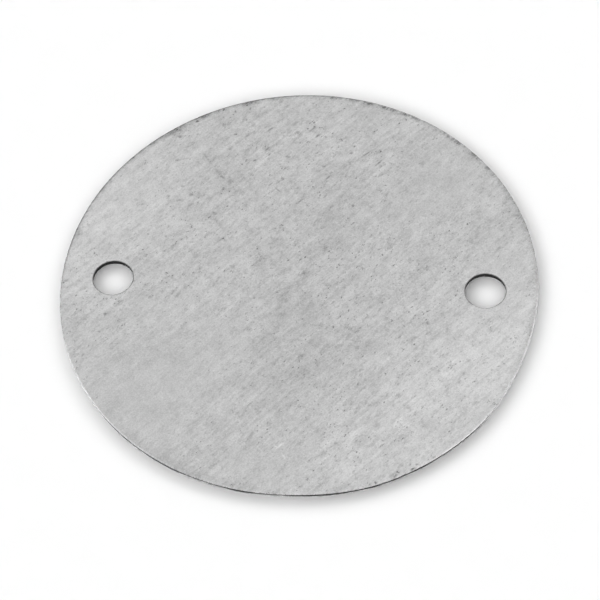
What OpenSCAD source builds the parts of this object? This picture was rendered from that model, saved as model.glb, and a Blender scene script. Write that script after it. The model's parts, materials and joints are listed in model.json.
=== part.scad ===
// Round conduit box cover: one flat disc, blanked from galvanised steel sheet
// and pierced for the two screws that hold it on a circular conduit box.
// The underside lies on z = 0, the disc is centred on the Z axis, and the two
// screw holes lie on the X axis. Sizes are in millimetres.

/* [Plate] */
// Diameter of the blanked disc
cover_d = 65; // [60:0.5:120]
// Thickness of the galvanised sheet
sheet_t = 0.8; // [0.6:0.1:3]

/* [Screw holes] */
// Distance between the centres of the two screw holes
hole_spacing = 50.8; // [30:0.1:57]
// Diameter of a screw hole at its narrowest
hole_d = 5.5; // [3:0.1:8]

/* [Sheared edges] */
// Width of the soft edge that the die rolls over round the rim
rim_roll_w = 0.4; // [0.2:0.05:0.8]
// Depth of the soft edge round the rim
rim_roll_h = 0.15; // [0.05:0.01:0.2]
// Width of the soft edge that the punch draws in round a screw hole
hole_roll_w = 0.25; // [0.15:0.05:0.6]
// Depth of the soft edge round a screw hole
hole_roll_h = 0.1; // [0.05:0.01:0.15]
// Height of the smooth, burnished band of a cut, below its soft edge
land_h = 0.25; // [0.05:0.05:0.4]
// How far the torn band of a cut leans back at the underside
tear_lean = 0.05; // [0.01:0.01:0.1]

/* [Hidden] */
// Radius of the disc at its burnished band
cover_r = cover_d / 2;
// Radius of a screw hole at its burnished band
hole_r = hole_d / 2;
// Heights at which the burnished bands of the rim and the holes start
rim_land_top = sheet_t - rim_roll_h;
hole_land_top = sheet_t - hole_roll_h;
// How far a cutting solid runs past the faces of the sheet
cut_past = 1;
// Which way each screw hole lies from the centre
hole_sides = [-1, 1];
$fn = 128;

// Radius of an arc that leaves the face level and drops by h over a width of w
function roll_radius(w, h) = (w * w + h * h) / (2 * h);

// Section of a soft edge: its back on the Y axis, its foot on the X axis, and
// its top an arc that leaves the face level and falls away to the cut.
module soft_edge(w, h) {
    r = roll_radius(w, h);
    intersection() {
        square([w, h]);
        translate([0, h - r]) circle(r = r);
    }
}

// Half section of the disc. From the front face down, its rim is a soft edge,
// a burnished band, and a torn band that leans inwards to the underside.
module disc_section() {
    polygon([
        [0, 0],
        [cover_r - tear_lean, 0],
        [cover_r, rim_land_top - land_h],
        [cover_r, rim_land_top],
        [0, rim_land_top]
    ]);
    translate([0, rim_land_top]) square([cover_r - rim_roll_w, rim_roll_h]);
    translate([cover_r - rim_roll_w, rim_land_top]) soft_edge(rim_roll_w, rim_roll_h);
}

// Half section of what the punch takes out of a screw hole. The hole has the
// same three bands as the rim, and widens where the rim narrows.
module hole_section() {
    polygon([
        [0, -cut_past],
        [hole_r + tear_lean, -cut_past],
        [hole_r + tear_lean, 0],
        [hole_r, hole_land_top - land_h],
        [hole_r, hole_land_top],
        [0, hole_land_top]
    ]);
    translate([0, hole_land_top]) difference() {
        square([hole_r + hole_roll_w, hole_roll_h + cut_past]);
        translate([hole_r + hole_roll_w, 0]) mirror([1, 0]) soft_edge(hole_roll_w, hole_roll_h);
    }
}

module screw_hole() {
    rotate_extrude() hole_section();
}

module cover_plate() {
    color("silver") difference() {
        rotate_extrude() disc_section();
        for (side = hole_sides)
            translate([side * hole_spacing / 2, 0, 0]) screw_hole();
    }
}

cover_plate();
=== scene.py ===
import json
import math

import bpy
from mathutils import Matrix, Vector


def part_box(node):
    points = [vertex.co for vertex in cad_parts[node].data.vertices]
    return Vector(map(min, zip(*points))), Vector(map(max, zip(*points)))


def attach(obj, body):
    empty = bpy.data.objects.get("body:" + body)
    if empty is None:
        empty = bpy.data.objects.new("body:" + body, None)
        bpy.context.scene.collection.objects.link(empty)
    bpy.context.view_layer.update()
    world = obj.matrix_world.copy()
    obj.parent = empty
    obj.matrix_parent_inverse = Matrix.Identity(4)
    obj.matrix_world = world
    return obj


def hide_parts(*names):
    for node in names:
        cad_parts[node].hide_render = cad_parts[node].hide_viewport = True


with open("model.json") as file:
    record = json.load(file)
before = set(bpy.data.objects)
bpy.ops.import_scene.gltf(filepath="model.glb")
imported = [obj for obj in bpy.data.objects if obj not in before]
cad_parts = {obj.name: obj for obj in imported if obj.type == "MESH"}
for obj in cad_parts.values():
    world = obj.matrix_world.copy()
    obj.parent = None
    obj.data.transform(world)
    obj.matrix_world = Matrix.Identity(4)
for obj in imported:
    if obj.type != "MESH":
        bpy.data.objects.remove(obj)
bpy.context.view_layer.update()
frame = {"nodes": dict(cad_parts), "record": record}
mm = 0.001  # the frame is in metres, and the sizes below are in millimetres
scene = bpy.context.scene
scene.view_settings.view_transform = "Standard"
print("frame loaded:", sorted(frame["nodes"]))


class Wire:
    # one output of a node, so that maths on it reads as a Python expression

    def __init__(self, tree, socket):
        self.tree = tree
        self.socket = socket

    @classmethod
    def node(cls, tree, kind, settings, sockets, output=0):
        made = tree.nodes.new(kind)
        for name, value in settings.items():
            setattr(made, name, value)
        for name, value in sockets.items():
            for one in value if isinstance(value, list) else [value]:  # a list is several links
                if isinstance(one, cls):
                    tree.links.new(one.socket, made.inputs[name])
                else:
                    made.inputs[name].default_value = one
        return cls(tree, made.outputs[output])

    @classmethod
    def maths(cls, operation, *values):
        tree = next(value.tree for value in values if isinstance(value, cls))
        return cls.node(tree, "ShaderNodeMath", {"operation": operation}, dict(enumerate(values)))

    def __add__(self, other):
        return Wire.maths("ADD", self, other)

    def __radd__(self, other):
        return Wire.maths("ADD", other, self)

    def __sub__(self, other):
        return Wire.maths("SUBTRACT", self, other)

    def __rsub__(self, other):
        return Wire.maths("SUBTRACT", other, self)

    def __mul__(self, other):
        return Wire.maths("MULTIPLY", self, other)

    def __rmul__(self, other):
        return Wire.maths("MULTIPLY", other, self)

    def __truediv__(self, other):
        return Wire.maths("DIVIDE", self, other)

    def __pow__(self, other):
        return Wire.maths("POWER", self, other)

    def clip(self):
        return Wire.maths("MINIMUM", Wire.maths("MAXIMUM", self, 0.0), 1.0)

    def ramp(self, low, high):  # 0 below low, 1 above high, smooth between, and the other way round
        sockets = {"Value": self, "From Min": low, "From Max": high}
        return Wire.node(self.tree, "ShaderNodeMapRange", {"interpolation_type": "SMOOTHSTEP"}, sockets)

    def axis(self, name):  # X, Y or Z of a vector
        return Wire.node(self.tree, "ShaderNodeSeparateXYZ", {}, {0: self}, name)


def vector(tree, x, y, z):
    return Wire.node(tree, "ShaderNodeCombineXYZ", {}, {"X": x, "Y": y, "Z": z})


# The plate's sizes, from the frame
plateLow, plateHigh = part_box("cover_plate")
mounts = {mount["name"]: mount for mount in frame["record"]["mounts"]}
holeDims = mounts["screw_holes"]["dims"]
coverRadius = min(plateHigh.x, plateHigh.y, -plateLow.x, -plateLow.y)
sheetThickness = plateHigh.z - plateLow.z
holeSpacing = holeDims["spacing_x_mm"] * mm
holeRadius = holeDims["hole_r_mm"] * mm

view = {
    "azimuth": 9.557,      # degrees round the plate from the front
    "elevation": 56.255,
    "roll": 5.941,         # the camera leans, so level lines rise to the right
    "distance": 342.2,     # mm from the middle of the underside
    "fieldOfView": 13.6,
    "shift": (0.0028, -0.0213),
    "clip": (10.0, 10000.0),  # mm
}


def makeCamera():
    azimuth = math.radians(view["azimuth"])
    elevation = math.radians(view["elevation"])
    flat = math.cos(elevation)
    back = Vector((math.sin(azimuth) * flat, -math.cos(azimuth) * flat, math.sin(elevation)))
    data = bpy.data.cameras.new("camera")
    data.angle = math.radians(view["fieldOfView"])
    data.shift_x, data.shift_y = view["shift"]
    data.clip_start, data.clip_end = (value * mm for value in view["clip"])
    camera = bpy.data.objects.new("camera", data)
    lean = Matrix.Rotation(-math.radians(view["roll"]), 3, "Z")
    turn = (-back).to_track_quat("-Z", "Y").to_matrix() @ lean
    camera.matrix_world = Matrix.Translation(back * view["distance"] * mm) @ turn.to_4x4()
    scene.collection.objects.link(camera)
    scene.camera = camera


makeCamera()
print("camera placed")

studio = {
    "floorGrey": 0.97,
    "floorDrop": 0.02,        # mm that the floor lies under the plate
    "floorSize": 4000.0,      # mm
    "boxLevel": 5.4,          # light of the ring of softboxes round the table
    "boxStart": (11.6, 14.2),  # degrees of elevation over which the ring starts
    "boxFade": (14.0, 38.0),  # and over which it fades
    "topLevel": 0.27,         # light from above the ring
    "keyAzimuth": 146.0,      # the side of the plate that most light comes from
    "keyShare": 0.48,
    "endShare": 0.29,         # how much less comes along the line of the holes
    "horizonLevel": 0.62,     # what polished metal sees of the room
    "zenithLevel": 1.09,
    # panels that the soft edge of the rim mirrors: where they stand, and their light
    "panels": [
        ((-0.94, -0.04, 0.34), 1.4),
        ((-0.80, -0.34, 0.49), 0.8),
        ((0.80, -0.22, 0.56), 1.1),
        ((0.88, 0.36, 0.31), 0.8),
    ],
    "panelFocus": 36,
}


def makeWorld():
    world = bpy.data.worlds.new("studio")
    world.use_nodes = True
    world.cycles.sampling_method = "NONE"  # so that each kind of ray sees its own level
    scene.world = world
    tree = world.node_tree
    tree.nodes.clear()
    way = Wire.node(tree, "ShaderNodeTexCoord", {}, {}, "Generated")
    x, y, z = (way.axis(name) for name in "XYZ")
    start, fade = (z.ramp(*(math.sin(math.radians(angle)) for angle in studio[name]))
                   for name in ("boxStart", "boxFade"))
    keyAzimuth = math.radians(studio["keyAzimuth"])
    toKey = x * math.cos(keyAzimuth) + y * math.sin(keyAzimuth)
    sides = 1 + studio["keyShare"] * toKey - studio["endShare"] * (x * x - y * y)
    softboxes = (studio["boxLevel"] * start * (1 - fade) + studio["topLevel"]) * sides
    room = studio["horizonLevel"] + (studio["zenithLevel"] - studio["horizonLevel"]) * z
    for toPanel, light in studio["panels"]:
        toward = x * toPanel[0] + y * toPanel[1] + z * toPanel[2]
        room = room + light * toward.clip() ** studio["panelFocus"]
    rays = {name: Wire.node(tree, "ShaderNodeLightPath", {}, {}, f"Is {name} Ray")
            for name in ("Camera", "Glossy", "Transmission")}
    mirrored = (rays["Glossy"] + rays["Transmission"]).clip()
    bounces = Wire.node(tree, "ShaderNodeLightPath", {}, {}, "Diffuse Depth").clip()
    room = room * (1 - bounces)  # the metal throws no light on the paper
    level = rays["Camera"] + mirrored * room + (1 - rays["Camera"] - mirrored) * softboxes
    light = Wire.node(tree, "ShaderNodeBackground", {}, {"Color": (1, 1, 1, 1), "Strength": level})
    tree.links.new(light.socket, tree.nodes.new("ShaderNodeOutputWorld").inputs["Surface"])


def makeFloor():
    half = studio["floorSize"] / 2 * mm
    level = plateLow.z - studio["floorDrop"] * mm
    mesh = bpy.data.meshes.new("floor")
    corners = [(-half, -half, level), (half, -half, level), (half, half, level), (-half, half, level)]
    mesh.from_pydata(corners, [], [(0, 1, 2, 3)])
    material = bpy.data.materials.new("palePaper")
    material.use_nodes = True
    shader = material.node_tree.nodes["Principled BSDF"]
    shader.inputs["Base Color"].default_value = (*[studio["floorGrey"]] * 3, 1)
    shader.inputs["Roughness"].default_value = 1.0
    shader.inputs["Specular IOR Level"].default_value = 0.0
    mesh.materials.append(material)
    floor = bpy.data.objects.new("floor", mesh)
    scene.collection.objects.link(floor)


makeWorld()
makeFloor()
print("studio lit")


def newMaterial(name):
    material = bpy.data.materials.new(name)
    material.use_nodes = True
    tree = material.node_tree
    shader = tree.nodes["Principled BSDF"]
    spot = Wire.node(tree, "ShaderNodeTexCoord", {}, {}, "Object")
    return material, shader, spot


def finishMetal(shader, tone, rough, relief, depth):
    tree = tone.tree
    colour = Wire.node(tree, "ShaderNodeCombineColor", {}, {"Red": tone, "Green": tone, "Blue": tone})
    bump = Wire.node(tree, "ShaderNodeBump", {}, {
        "Strength": 1.0, "Distance": depth * mm, "Height": relief})
    for name, wire in (("Base Color", colour), ("Roughness", rough), ("Normal", bump)):
        tree.links.new(wire.socket, shader.inputs[name])
    shader.inputs["Metallic"].default_value = 1.0


def turned(spot, angle, long, wide, centre=(0.0, 0.0, 0.0)):
    # coordinates that count in features of that length and width, laid at that angle round the centre
    sockets = {
        "Vector": spot,
        "Location": tuple(value * mm for value in centre),
        "Rotation": (0.0, 0.0, math.radians(angle)),
        "Scale": (long * mm, wide * mm, wide * mm),
    }
    return Wire.node(spot.tree, "ShaderNodeMapping", {"vector_type": "TEXTURE"}, sockets)


def noise(spot, detail, roughness, distortion=0.0, output="Fac"):
    sockets = {
        "Vector": spot,
        "Scale": 1.0,
        "Detail": detail,
        "Roughness": roughness,
        "Distortion": distortion,
    }
    return Wire.node(spot.tree, "ShaderNodeTexNoise", {"noise_dimensions": "3D"}, sockets, output)


def length(spot):
    return Wire.node(spot.tree, "ShaderNodeVectorMath", {"operation": "LENGTH"}, {0: spot}, "Value")


def fromAxis(x, y):
    return Wire.maths("SQRT", x * x + y * y)


def facing(x, y, angle):
    # cosine of the turn round the plate between a place and that angle
    turn = math.radians(angle)
    return (math.cos(turn) * x + math.sin(turn) * y) / fromAxis(x, y)


zinc = {
    "grey": 0.54,
    "roughness": 0.45,
    "rolledAt": 48.0,         # degrees from the line of the holes
    # soft patches of tone: centre, length, width in mm, angle, how much lighter
    "patches": [
        ((29.0, -12.0), 30.0, 17.0, 55.0, 0.16),
        ((28.0, 4.0), 14.0, 9.0, 60.0, 0.035),
        ((-28.0, 9.0), 22.0, 14.0, 60.0, 0.12),
        ((1.0, -4.0), 28.0, 12.0, 85.0, -0.075),
        ((15.0, -18.0), 18.0, 6.0, 46.0, 0.045),
        ((10.0, -27.0), 12.0, 7.0, 20.0, 0.06),
        ((4.5, 9.0), 8.0, 4.0, 80.0, -0.035),
        ((10.0, -9.0), 7.0, 4.0, 48.0, -0.03),
        ((2.0, -17.0), 7.0, 4.0, 60.0, -0.03),
        ((-12.0, 18.0), 9.0, 3.0, 130.0, -0.04),
        ((-12.0, 9.0), 6.0, 2.5, 132.0, -0.04),
        ((0.0, 26.0), 14.0, 9.0, 0.0, 0.025),
    ],
    # parts of the plate with fewer specks: centre, length, width, angle, share taken away
    "cleanParts": [
        ((-18.0, -18.0), 23.0, 15.0, 45.0, 0.9),
        ((20.0, 19.0), 15.0, 9.0, 45.0, 0.7),
        ((-24.0, 15.0), 12.0, 8.0, 50.0, 0.5),
        ((28.0, 2.0), 10.0, 6.0, 80.0, 0.5),
        ((-2.0, -28.5), 10.0, 5.0, 10.0, 0.7),
    ],
    "cleanMottling": 0.3,     # share of the mottling that is left in those parts
    "straySpecks": 0.2,       # share of the specks that is left outside their clusters
    # noise: degrees from the rolling direction, length and width in mm, detail, roughness, distortion
    "layers": {
        "brushed": (0.0, 8.0, 0.45, 3.0, 0.55, 0.0),
        "crossed": (84.0, 4.5, 0.9, 3.0, 0.6, 0.0),
        "cloudy": (0.0, 3.4, 2.4, 5.0, 0.62, 0.0),
        "grainy": (0.0, 0.22, 0.19, 2.0, 0.7, 0.0),
        "lines": (-4.0, 3.4, 0.32, 2.0, 0.5, 0.2),
        "islands": (0.0, 2.2, 1.1, 5.0, 0.6, 0.15),
        "flakes": (0.0, 0.8, 0.5, 4.0, 0.6, 0.0),
        "ragged": (5.0, 1.5, 0.9, 4.0, 0.65, 0.3),
        "clusters": (0.0, 3.6, 2.6, 1.0, 0.6, 0.0),
        "specks": (0.0, 0.50, 0.32, 3.0, 0.65, 0.0),
        "shaken": (0.0, 0.8, 0.5, 3.0, 0.6, 0.0),
        "blots": (0.0, 1.0, 0.5, 3.0, 0.6, 0.0),
        "wornRim": (-48.0, 0.6, 0.6, 2.0, 0.6, 0.0),
    },
    # levels of that noise at which a mark starts and is full
    "marks": {
        "lines": (0.52, 0.74),
        "islands": (0.53, 0.46),
        "flakes": (0.46, 0.40),
        "ragged": (0.46, 0.28),
        "clusters": (0.32, 0.62),
        "specks": (0.385, 0.305),
        "blots": (0.46, 0.57),
        "wornRim": (0.36, 0.54),
    },
    # degrees from the rolling direction, mm from pit to pit, mm to a pit's edge, stretch, share of cells
    "pits": (9.0, 0.8, 0.15, 1.7, 0.15),
    "clouds": 0.46,           # how far each layer goes from the mean tone
    "streaks": 0.32,
    "crossStreaks": 0.17,
    "grain": 0.63,
    "islands": 0.062,
    "flakes": 0.105,
    "blotches": 0.22,
    "specks": 0.60,
    "lines": 0.03,
    "lineParts": [((16.0, -17.0), 20.0, 10.0, 45.0, 0.10)],
    "grainDepth": 0.001,      # mm
    "shake": 0.35,            # mm that the outline of a mark wanders
    # dark scuffs and spots: centre, length, width, angle, amount
    "scuffs": [
        ((-14.4, 20.4), 1.9, 0.2, 130.0, 0.24),
        ((-12.9, 18.5), 1.0, 0.6, 120.0, 0.22),
        ((-12.0, 17.5), 0.5, 0.3, 150.0, 0.34),
        ((-10.9, 16.8), 1.0, 0.6, 110.0, 0.26),
        ((-11.4, 9.2), 3.0, 0.6, 135.0, 0.12),
        ((-12.5, 11.2), 0.5, 0.4, 40.0, 0.36),
        ((-12.7, 26.6), 0.5, 0.4, 100.0, 0.32),
        ((-10.9, 25.0), 0.4, 0.3, 60.0, 0.46),
        ((-11.3, 28.9), 0.3, 0.3, 0.0, 0.40),
        ((-7.9, 20.5), 0.4, 0.3, 30.0, 0.38),
        ((-15.8, 20.0), 0.3, 0.3, 0.0, 0.34),
        ((-6.2, 22.6), 0.6, 0.35, 35.0, 0.46),
        ((-2.1, 25.6), 0.6, 0.4, 30.0, 0.42),
        ((-0.5, 24.0), 0.4, 0.3, 30.0, 0.55),
        ((5.7, 22.3), 0.6, 0.35, 30.0, 0.42),
        ((-3.1, 21.4), 0.4, 0.35, 0.0, 0.44),
        ((2.0, 19.9), 0.4, 0.3, 0.0, 0.44),
        ((-3.5, 17.5), 0.4, 0.3, 0.0, 0.54),
        ((6.6, 13.3), 0.5, 0.4, 0.0, 0.45),
        ((-18.7, 24.3), 0.5, 0.35, 40.0, 0.42),
        ((-18.7, 20.1), 0.6, 0.35, 30.0, 0.36),
        ((-17.4, 15.7), 0.4, 0.3, 0.0, 0.40),
        ((-16.2, 14.3), 0.5, 0.3, 40.0, 0.40),
        ((-19.3, 14.0), 0.5, 0.3, 30.0, 0.36),
        ((-17.8, 13.2), 0.5, 0.35, 60.0, 0.36),
        ((-23.8, 3.3), 0.6, 0.4, 45.0, 0.32),
        ((-16.7, 6.8), 0.3, 0.3, 40.0, 0.50),
        ((-2.0, -2.8), 1.0, 0.6, 45.0, 0.18),
        ((10.3, -9.4), 2.2, 1.0, 40.0, 0.10),
        ((3.3, 11.6), 2.2, 1.0, 70.0, 0.10),
        ((18.0, -5.5), 0.5, 0.4, 45.0, 0.30),
        ((-16.6, 27.1), 0.35, 0.3, 30.0, 0.80),
        ((-12.9, 29.3), 0.4, 0.3, 20.0, 0.80),
        ((11.8, -30.5), 0.3, 0.25, 0.0, 0.60),
        ((12.5, -30.2), 0.3, 0.25, 0.0, 0.55),
        ((15.0, -29.1), 0.35, 0.25, 40.0, 0.55),
        ((15.3, -28.6), 0.3, 0.25, 0.0, 0.65),
        ((16.8, -27.3), 0.4, 0.25, 60.0, 0.50),
        ((17.7, -27.3), 0.35, 0.25, 60.0, 0.55),
        ((17.2, -28.0), 0.7, 0.3, 30.0, 0.80),
        ((19.8, -26.1), 0.5, 0.2, 35.0, 0.36),
        # stains along the rim at the back
        ((9.8, 30.6), 0.9, 0.5, 165.0, 0.20),
        ((7.6, 31.1), 1.2, 0.5, 35.0, 0.20),
        ((2.4, 31.9), 1.0, 0.4, 0.0, 0.28),
        ((-5.9, 31.5), 1.2, 0.5, 10.0, 0.30),
        ((-9.3, 30.6), 2.0, 0.7, 17.0, 0.28),
        ((-15.6, 28.0), 1.8, 0.6, 29.0, 0.34),
        ((-19.5, 25.3), 2.6, 0.7, 38.0, 0.40),
        ((-22.3, 23.1), 1.5, 0.4, 44.0, 0.28),
        ((-31.1, 7.2), 1.6, 0.7, 77.0, 0.36),
    ],
    # light scratches: centre, length, width, angle, amount
    "scratches": [
        ((13.1, -11.2), 2.2, 0.25, 48.0, 0.14),
        ((9.0, -23.3), 1.2, 0.3, 50.0, 0.12),
        ((6.4, -9.3), 1.0, 0.25, 49.0, 0.11),
        ((18.1, -8.0), 0.9, 0.25, 52.0, 0.11),
        ((22.4, -3.5), 0.9, 0.3, 38.0, 0.11),
        ((29.1, 3.6), 1.6, 0.2, 15.0, 0.10),
        ((-6.3, -25.2), 1.2, 0.2, 50.0, 0.11),
    ],
    # thin straight strokes: centre, length, width, angle, and how much darker or, under 0, lighter
    "strokes": [
        ((0.8, 25.2), 0.8, 0.24, 43.0, 0.52),
        ((7.9, 22.3), 1.2, 0.18, 42.0, 0.46),
        ((9.7, 20.8), 1.2, 0.20, 49.0, 0.54),
        ((2.7, 17.9), 0.8, 0.20, 48.0, 0.48),
        ((-0.1, 26.3), 1.6, 0.20, 48.0, 0.34),
        ((-6.1, 26.0), 1.2, 0.20, 45.0, 0.36),
        ((-5.2, 16.5), 0.9, 0.18, 49.0, 0.42),
        ((-4.1, 15.6), 0.9, 0.18, 138.0, 0.36),
        ((-0.8, 13.8), 1.2, 0.20, 42.0, 0.30),
        ((10.1, 18.6), 0.8, 0.24, 37.0, 0.28),
        ((4.2, 24.6), 0.6, 0.18, 126.0, 0.40),
        ((-0.4, -25.4), 1.3, 0.22, 49.0, -0.30),
        ((-0.9, -25.4), 0.5, 0.20, 140.0, -0.22),
        ((0.3, -26.9), 0.9, 0.20, 125.0, -0.20),
    ],
    # stretches of the rim: degrees round it, and cosines of the turn from there at which they start
    # and are full
    "stainedBack": (100.0, 0.2, 0.6),
    "shadedLeft": (131.0, 0.55, 0.8),
    "stainBlots": 0.50,       # stains that run in from the rim all along the back
    "shadeLine": 0.45,        # painted shade: a dark line along the soft edge of the rim at the back left, where it rolls away
    "stainAndShadeReach": (0.25, 1.0),  # mm that they come in from the rim
    "lineSoftness": 0.15,     # mm
    # dull stretches of the rim, as above, with mm where they are full and end, and how much darker
    "dullParts": [
        ((0.0, 0.80, 0.95), (0.25, 1.0), 0.10),
        ((247.0, 0.90, 0.98), (0.3, 1.8), 0.12),
        ((337.0, 0.90, 0.98), (0.3, 1.8), 0.06),
    ],
    "holeEdgeShade": 0.75,        # painted shade: a dark line along the soft edge of a hole, where it tilts into the hole
    "holeShadeReach": 0.16,        # mm
    "rimShine": 0.30,         # how much smoother the worn edge of the rim is
    "shineReach": (0.05, 0.25),  # mm
    "cloudRoughness": 0.20,   # how far the clouds and the specks change the roughness
    "speckRoughness": 0.15,
    "speckDepth": 2.0,        # specks lie deeper than the grain is high
}


def softPatch(spot, centre, long, wide, angle):
    onFace = (*centre, sheetThickness / mm)
    return length(turned(spot, angle, long, wide, onFace)).ramp(1.0, 0.0)


def patched(start, spot, patches):
    for centre, long, wide, angle, amount in patches:
        start = start + amount * softPatch(spot, centre, long, wide, angle)
    return start


def layer(spot, name, output="Fac"):
    turn, long, wide, *texture = zinc["layers"][name]
    return noise(turned(spot, zinc["rolledAt"] + turn, long, wide), *texture, output)


def marks(spot, name):
    return layer(spot, name).ramp(*zinc["marks"][name])


def pits(spot):
    # small round marks, one at most in each cell, in a share of the cells
    turn, cell, size, stretch, share = zinc["pits"]
    spread = turned(spot, zinc["rolledAt"] + turn, cell * stretch, cell)
    cells = {"voronoi_dimensions": "2D", "feature": "F1"}
    sockets = {"Vector": spread, "Scale": 1.0, "Randomness": 1.0}
    away = Wire.node(spot.tree, "ShaderNodeTexVoronoi", cells, sockets, "Distance")
    chance = Wire.node(spot.tree, "ShaderNodeTexVoronoi", cells, sockets, "Color").axis(0)
    reach = ((chance - (1 - share)) / share).clip() * (size / cell)
    return (away / (reach + 0.001)).ramp(1.0, 0.3)  # 0.001, since an empty cell has no reach


def shaken(spot):
    # places that noise moves to and fro, for marks with ragged outlines
    far = 3 * zinc["shake"] * mm  # the noise seldom leaves the middle third of its range
    shift = Wire.node(spot.tree, "ShaderNodeVectorMath", {"operation": "SUBTRACT"}, {
        0: layer(spot, "shaken", "Color"), 1: (0.5, 0.5, 0.5)})
    return Wire.node(spot.tree, "ShaderNodeVectorMath", {"operation": "MULTIPLY_ADD"}, {
        0: shift, 1: (far, far, 0.0), 2: spot})


# stains along the rim at the back, a line of painted shade on its soft edge at the back left, and dull
# stretches
def rimStainsAndShade(spot, x, y, fromRim, ragged):
    def stretch(angle, start, full):
        return facing(x, y, angle).ramp(start, full)

    toBack, toLeft = stretch(*zinc["stainedBack"]), stretch(*zinc["shadedLeft"])
    near, far = zinc["stainAndShadeReach"]
    soft = zinc["lineSoftness"]
    blots = toBack * (1 - 0.5 * toLeft) * (0.2 + 0.8 * marks(spot, "blots"))
    stainAndShade = zinc["stainBlots"] * blots * fromRim.ramp(far, near)
    # painted shade: a dark line on the soft edge of the rim at the back left
    line = toLeft * (0.5 + 0.8 * ragged) * fromRim.ramp(near + soft, near - soft)
    stainAndShade = stainAndShade + zinc["shadeLine"] * line
    for place, (near, far), amount in zinc["dullParts"]:
        stainAndShade = stainAndShade + amount * stretch(*place) * fromRim.ramp(far, near)
    return stainAndShade


def galvanisedFace():
    material, shader, spot = newMaterial("galvanisedFace")
    dirty = 1 - patched(0.0, spot, zinc["cleanParts"])
    mottled = zinc["cleanMottling"] + (1 - zinc["cleanMottling"]) * dirty
    clustered = zinc["straySpecks"] + (1 - zinc["straySpecks"]) * marks(spot, "clusters")
    names = "brushed", "crossed", "cloudy", "grainy", "ragged"
    brushed, crossed, cloudy, grainy, ragged = (layer(spot, name) for name in names)
    tone = patched(1.0, spot, zinc["patches"])
    tone = tone + mottled * (zinc["streaks"] * (brushed - 0.5) + zinc["crossStreaks"] * (crossed - 0.5))
    tone = tone + zinc["clouds"] * (cloudy - 0.5) + zinc["grain"] * (grainy - 0.5)
    tone = tone + patched(zinc["lines"], spot, zinc["lineParts"]) * marks(spot, "lines")
    # flat islands and flakes of darker zinc, with ragged blotches among them
    islands, flakes = marks(spot, "islands"), marks(spot, "flakes")
    tone = tone + mottled * (zinc["islands"] * (0.5 - islands) + zinc["flakes"] * (0.35 - flakes))
    tone = tone - mottled * zinc["blotches"] * ragged.ramp(*zinc["marks"]["ragged"])
    specks = (marks(spot, "specks") + pits(spot)).clip() * dirty * clustered
    tone = tone - zinc["specks"] * specks
    # marks that stand out one by one
    loose = shaken(spot)
    tone = tone - patched(0.0, loose, zinc["scuffs"]) + patched(0.0, loose, zinc["scratches"])
    tone = tone - patched(0.0, spot, zinc["strokes"])
    # the rim and the holes: stains and painted shade along the rim, painted shade along the holes
    x, y = spot.axis("X"), spot.axis("Y")
    away = Wire.maths("ARCCOSINE", facing(x, y, plate["bulge"][0]))
    fromRim = (coverRadius - fromAxis(x, y)) / mm + bulgeOut(away)
    tone = tone - rimStainsAndShade(spot, x, y, fromRim, ragged)
    # painted shade along the soft edge of each hole
    fromHole = (fromAxis(Wire.maths("ABSOLUTE", x) - holeSpacing / 2, y) - holeRadius) / mm
    tone = tone - zinc["holeEdgeShade"] * fromHole.ramp(zinc["holeShadeReach"], 0.0)
    near, far = zinc["shineReach"]
    rough = zinc["roughness"] + zinc["cloudRoughness"] * (cloudy - 0.5) + zinc["speckRoughness"] * specks
    rough = rough - zinc["rimShine"] * fromRim.ramp(far, near) * marks(spot, "wornRim")
    relief = grainy + brushed - zinc["speckDepth"] * specks
    finishMetal(shader, zinc["grey"] * tone, rough, relief, zinc["grainDepth"])
    return material


shear = {
    "burnished": 0.03,        # greys of the burnished and the torn bands; the dark burnished grey is painted shade
    "rimTorn": 0.85,
    # painted shade: the holes' torn band is a darker copy of the rim's torn band
    "holeTornShade": 0.08,
    "roughness": 0.5,
    "tornRoughness": 0.25,    # how much rougher the torn band is
    "grooveRoughness": 0.1,
    "landTop": 0.66,          # mm above the underside
    "rimShade": 0.44,          # mm that the painted shade of the dark, burnished band reaches down from there
    # the same band of painted shade in the holes
    "holeShade": 0.24,
    "tearSoftness": 0.04,     # mm
    "shadeAt": 272.0,          # degrees round the rim to the middle of its stretch of painted shade
    "shadeEnds": (0.50, 0.74),  # cosines of the angles from there at which the stretch ends and is full
    "thinAt": (252.0, 269.0),  # degrees round the rim to where the painted shade is thinner
    "thinEnds": (0.992, 1.0),  # cosines, as above
    "thinShare": 0.42,
    "wanderSize": 2.5,        # mm along the band over which its depth wanders
    "wanderMarks": (0.35, 0.60),
    "wanderShare": 0.25,
    "grainSize": 0.12,        # mm
    "grooveSize": (0.16, 6.0),  # mm across and down the cut
    "grooveDepth": 0.01,      # mm
    "rimStart": (0.93, 0.95),  # shares of the plate's radius between the holes and the rim
}


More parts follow.
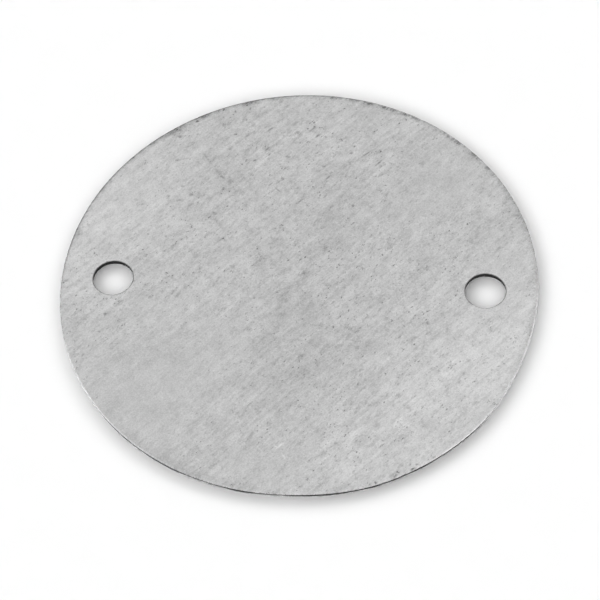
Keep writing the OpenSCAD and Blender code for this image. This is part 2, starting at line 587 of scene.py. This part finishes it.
def shearedEdge():
    material, shader, spot = newMaterial("shearedEdge")
    across, down = (value * mm for value in shear["grooveSize"])
    upright = Wire.node(spot.tree, "ShaderNodeMapping", {"vector_type": "TEXTURE"}, {
        "Vector": spot, "Scale": (across, across, down)})
    grooves = noise(upright, 2.0, 0.6)
    wander = noise(turned(spot, 0.0, shear["wanderSize"], shear["wanderSize"]), 3.0, 0.6)
    grain = noise(turned(spot, 0.0, shear["grainSize"], shear["grainSize"]), 3.0, 0.7)
    x, y = spot.axis("X"), spot.axis("Y")
    onRim = fromAxis(x, y).ramp(*(share * coverRadius for share in shear["rimStart"]))
    # painted shade: the dark band reaches deepest along the front of the rim
    rimShade = shear["rimShade"] * facing(x, y, shear["shadeAt"]).ramp(*shear["shadeEnds"])
    for angle in shear["thinAt"]:
        rimShade = rimShade * (1 - shear["thinShare"] * facing(x, y, angle).ramp(*shear["thinEnds"]))
    deeper = shear["wanderShare"] * wander.ramp(*shear["wanderMarks"])
    rimShade = rimShade * (1 - shear["wanderShare"] + deeper)
    deep = shear["holeShade"] + onRim * (rimShade - shear["holeShade"])
    soft = shear["tearSoftness"]
    torn = (spot.axis("Z") / mm - shear["landTop"] + deep).ramp(soft, -soft)
    # painted shade: the dark grey of the burnished band
    burnished = shear["burnished"] * (0.5 + grooves)
    # the rim's torn grey is bare steel; the holes' darker torn grey is painted shade
    bareAndHoleShade = shear["holeTornShade"] + onRim * (shear["rimTorn"] - shear["holeTornShade"])
    tone = burnished + torn * (bareAndHoleShade * (0.4 + 0.6 * grooves + 0.6 * grain) - burnished)
    rough = shear["roughness"] + shear["tornRoughness"] * torn
    rough = rough + shear["grooveRoughness"] * (grooves - 0.5)
    finishMetal(shader, tone, rough, grooves + torn * grain, shear["grooveDepth"])
    return material


plate = {
    "rimSoftWidth": 0.40,     # mm, what the die rolls over on the front face
    "rimSoftDepth": 0.15,
    "holeSoftWidth": 0.25,
    "holeSoftDepth": 0.10,
    "landHeight": 0.25,       # mm, the burnished band of the cut
    "tearLean": 0.05,         # mm that the torn band leans back
    "flatRing": 0.3,          # mm of flat ring that joins an edge to its faces
    "clearance": 0.0001,      # mm that the front face stays under the top of its box
    "softSteps": 8,           # rings of faces in each band
    "landSteps": 2,
    "tornSteps": 4,
    "rimPoints": 1600,
    "holePoints": 200,
    "wear": 0.012,            # mm that the worn edges wander inwards
    "wearLength": 0.9,        # mm
    "wearRow": 0.12,          # mm of noise from one ring of faces to the next
    "wearMarks": (0.35, 0.75),  # levels of noise at which the wear starts and is full
    # where the rim is out of round: degrees round it and wide, mm outwards
    "bulge": (307.0, 76.0, 0.52),
    # nicks in the rim: degrees round it, width and depth in mm
    "nicks": [
        (299.0, 0.8, 0.05),
        (303.0, 0.6, 0.03),
        (294.0, 0.7, 0.04),
        (336.0, 0.5, 0.04),
        (8.0, 0.5, 0.03),
        (62.0, 0.6, 0.04),
        (121.0, 0.5, 0.04),
        (158.0, 0.6, 0.03),
        (206.0, 0.5, 0.02),
        (252.0, 0.6, 0.02),
    ],
    "seed": 4.0,
    "weld": 0.001,            # mm
    "creaseAngle": 30.0,      # degrees, an edge that is sharper stays sharp
}


def bulgeOut(away):
    # mm that the rim stands out at that angle, in radians, from the middle of its bulge
    width, depth = plate["bulge"][1:]
    return depth * (away / math.radians(width / 2)).ramp(1.0, 0.3)


def edgeRing(tree, size, radius, outward, softWidth, softDepth, points):
    # one grid, bent into the section of a cut edge: flat ring, soft edge, burnished band, torn band
    # and flat ring
    rows = plate["softSteps"] + plate["landSteps"] + plate["tornSteps"] + 2
    grid = Wire.node(tree, "GeometryNodeMeshGrid", {}, {
        "Size X": float(rows), "Size Y": 2 * math.pi, "Vertices X": rows + 1, "Vertices Y": points + 1})
    at = Wire.node(tree, "GeometryNodeInputPosition", {}, {})
    row = at.axis("X") + rows / 2
    turn = at.axis("Y") + math.pi
    softStart = 1
    landStart = softStart + plate["softSteps"]
    tornStart = landStart + plate["landSteps"]
    tornEnd = tornStart + plate["tornSteps"]
    softShare, landShare, tornShare = (((row - first) / (last - first)).clip() for first, last in (
        (softStart, landStart), (landStart, tornStart), (tornStart, tornEnd)))
    bend = (softWidth * softWidth + softDepth * softDepth) / (2 * softDepth)
    lean = softShare * Wire.maths("ARCSINE", softWidth / bend)
    flat = plate["flatRing"] * mm
    thickness, land = size["Sheet Thickness"], size["Land Height"]
    tornHeight = thickness - softDepth - land
    inset = (1 - row.clip()) * flat + softWidth - bend * Wire.maths("SINE", lean)
    inset = inset + tornShare * size["Tear Lean"] + (row - tornEnd).clip() * flat
    height = thickness - bend * (1 - Wire.maths("COSINE", lean))
    height = height - landShare * land - tornShare * tornHeight
    acrossX, acrossY = Wire.maths("COSINE", turn), Wire.maths("SINE", turn)
    along = vector(tree, acrossX * radius, acrossY * radius, row * (plate["wearRow"] * mm))
    fine = 1 / (plate["wearLength"] * mm)
    wander = Wire.node(tree, "ShaderNodeTexNoise", {"noise_dimensions": "4D"}, {
        "Vector": along, "W": plate["seed"], "Scale": fine, "Detail": 3.0}, "Fac")
    worn = wander.ramp(*plate["wearMarks"]) * (plate["wear"] * mm)
    onCut = 1 - (row - tornEnd).clip()
    if outward > 0:
        for angle, width, depth in plate["nicks"]:
            away = Wire.maths("ABSOLUTE", turn - math.radians(angle)) * radius / (width / 2 * mm)
            worn = worn + away.ramp(1.0, 0.2) * (depth * mm)
        away = Wire.maths("ABSOLUTE", turn - math.radians(plate["bulge"][0]))
        inset = inset - bulgeOut(away) * mm * row.clip() * onCut
    inset = inset + worn * softShare * onCut
    reach = radius - outward * inset
    place = vector(tree, reach * acrossX, reach * acrossY, height)
    # 1 on the faces from the burnished band to the end of the torn band, at whose middles row ends in .5
    cut = row.ramp(landStart + 0.1, landStart + 0.4) * (1 - row.ramp(tornEnd - 0.4, tornEnd - 0.1))
    perFace = {"data_type": "FLOAT", "domain": "FACE"}
    marked = Wire.node(tree, "GeometryNodeStoreNamedAttribute", perFace, {
        "Geometry": grid, "Name": "sheared", "Value": cut})
    ring = Wire.node(tree, "GeometryNodeSetPosition", {}, {"Geometry": marked, "Position": place})
    if outward < 0:
        ring = Wire.node(tree, "GeometryNodeFlipFaces", {}, {"Mesh": ring})
    return ring


def plateTree(faceMaterial, cutMaterial):
    tree = bpy.data.node_groups.new("pressedPlate", "GeometryNodeTree")
    tree.interface.new_socket("Plate", in_out="OUTPUT", socket_type="NodeSocketGeometry")
    sizes = {
        "Cover Radius": coverRadius,
        "Sheet Thickness": sheetThickness - plate["clearance"] * mm,
        "Hole Radius": holeRadius,
        "Hole Spacing": holeSpacing,
        "Rim Soft Width": plate["rimSoftWidth"] * mm,
        "Rim Soft Depth": plate["rimSoftDepth"] * mm,
        "Hole Soft Width": plate["holeSoftWidth"] * mm,
        "Hole Soft Depth": plate["holeSoftDepth"] * mm,
        "Land Height": plate["landHeight"] * mm,
        "Tear Lean": plate["tearLean"] * mm,
    }
    for name in sizes:
        tree.interface.new_socket(name, in_out="INPUT", socket_type="NodeSocketFloat")
    size = {name: Wire.node(tree, "NodeGroupInput", {}, {}, name) for name in sizes}
    thickness = size["Sheet Thickness"]
    rimSoft = size["Rim Soft Width"], size["Rim Soft Depth"]
    holeSoft = size["Hole Soft Width"], size["Hole Soft Depth"]
    flat = plate["flatRing"] * mm
    lean = size["Tear Lean"]
    half = size["Hole Spacing"] / 2
    centres = Wire.node(tree, "GeometryNodeMeshLine", {}, {
        "Count": 2, "Start Location": vector(tree, 0 - half, 0.0, 0.0),
        "Offset": vector(tree, size["Hole Spacing"], 0.0, 0.0)})

    def atHoles(piece):
        turn = vector(tree, 0.0, 0.0, Wire.node(tree, "GeometryNodeInputIndex", {}, {}) * math.pi)
        spread = Wire.node(tree, "GeometryNodeInstanceOnPoints", {}, {
            "Points": centres, "Instance": piece, "Rotation": turn})
        return Wire.node(tree, "GeometryNodeRealizeInstances", {}, {"Geometry": spread})

    def circle(radius, points):
        return Wire.node(tree, "GeometryNodeCurvePrimitiveCircle", {"mode": "RADIUS"}, {
            "Resolution": points, "Radius": radius})

    def face(rimRadius, edgeRadius, height):
        rimCircle = circle(rimRadius, plate["rimPoints"])
        holeCircles = atHoles(circle(edgeRadius, plate["holePoints"]))
        joined = Wire.node(tree, "GeometryNodeJoinGeometry", {}, {0: [rimCircle, holeCircles]})
        filled = Wire.node(tree, "GeometryNodeFillCurve", {"mode": "TRIANGLES"}, {"Curve": joined})
        lifted = {"Geometry": filled, "Offset": vector(tree, 0.0, 0.0, height)}
        return Wire.node(tree, "GeometryNodeSetPosition", {}, lifted)

    rim = edgeRing(tree, size, size["Cover Radius"], 1, *rimSoft, plate["rimPoints"])
    hole = edgeRing(tree, size, size["Hole Radius"], -1, *holeSoft, plate["holePoints"])
    rimInside = size["Cover Radius"] - rimSoft[0] - flat
    front = face(rimInside, size["Hole Radius"] + holeSoft[0] + flat, thickness)
    under = face(size["Cover Radius"] - lean - flat, size["Hole Radius"] + lean + flat, 0.0)
    under = Wire.node(tree, "GeometryNodeFlipFaces", {}, {"Mesh": under})
    whole = Wire.node(tree, "GeometryNodeJoinGeometry", {}, {0: [rim, atHoles(hole), front, under]})
    whole = Wire.node(tree, "GeometryNodeMergeByDistance", {}, {
        "Geometry": whole, "Distance": plate["weld"] * mm})
    angle = Wire.node(tree, "GeometryNodeInputMeshEdgeAngle", {}, {}, "Unsigned Angle")
    soft = Wire.node(tree, "FunctionNodeCompare", {"operation": "LESS_THAN"}, {
        0: angle, 1: math.radians(plate["creaseAngle"])})
    whole = Wire.node(tree, "GeometryNodeSetShadeSmooth", {"domain": "EDGE"}, {
        "Geometry": whole, "Shade Smooth": soft})
    whole = Wire.node(tree, "GeometryNodeRealizeInstances", {}, {"Geometry": whole})
    whole = Wire.node(tree, "GeometryNodeSetMaterial", {}, {"Geometry": whole, "Material": faceMaterial})
    sheared = Wire.node(tree, "GeometryNodeInputNamedAttribute", {"data_type": "FLOAT"}, {
        "Name": "sheared"})
    cutFaces = Wire.node(tree, "FunctionNodeCompare", {"operation": "GREATER_THAN"}, {
        0: sheared, 1: 0.5})
    whole = Wire.node(tree, "GeometryNodeSetMaterial", {}, {
        "Geometry": whole, "Selection": cutFaces, "Material": cutMaterial})
    tree.links.new(whole.socket, tree.nodes.new("NodeGroupOutput").inputs[0])
    return tree, sizes


def makePlate():
    faceMaterial, cutMaterial = galvanisedFace(), shearedEdge()
    print("finishes mixed:", faceMaterial.name, cutMaterial.name)
    tree, sizes = plateTree(faceMaterial, cutMaterial)
    piece = bpy.data.objects.new("conduitBoxCover", bpy.data.meshes.new("blank"))
    scene.collection.objects.link(piece)
    modifier = piece.modifiers.new("press", "NODES")
    modifier.node_group = tree
    for item in tree.interface.items_tree:
        if item.in_out == "INPUT":
            modifier[item.identifier] = sizes[item.name]
    pressed = piece.evaluated_get(bpy.context.evaluated_depsgraph_get())
    mesh = bpy.data.meshes.new_from_object(pressed)
    piece.modifiers.remove(modifier)
    piece.data = mesh
    return piece


cover = makePlate()
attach(cover, "root")
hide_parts("cover_plate")
print("plate pressed:", len(cover.data.polygons), "faces")
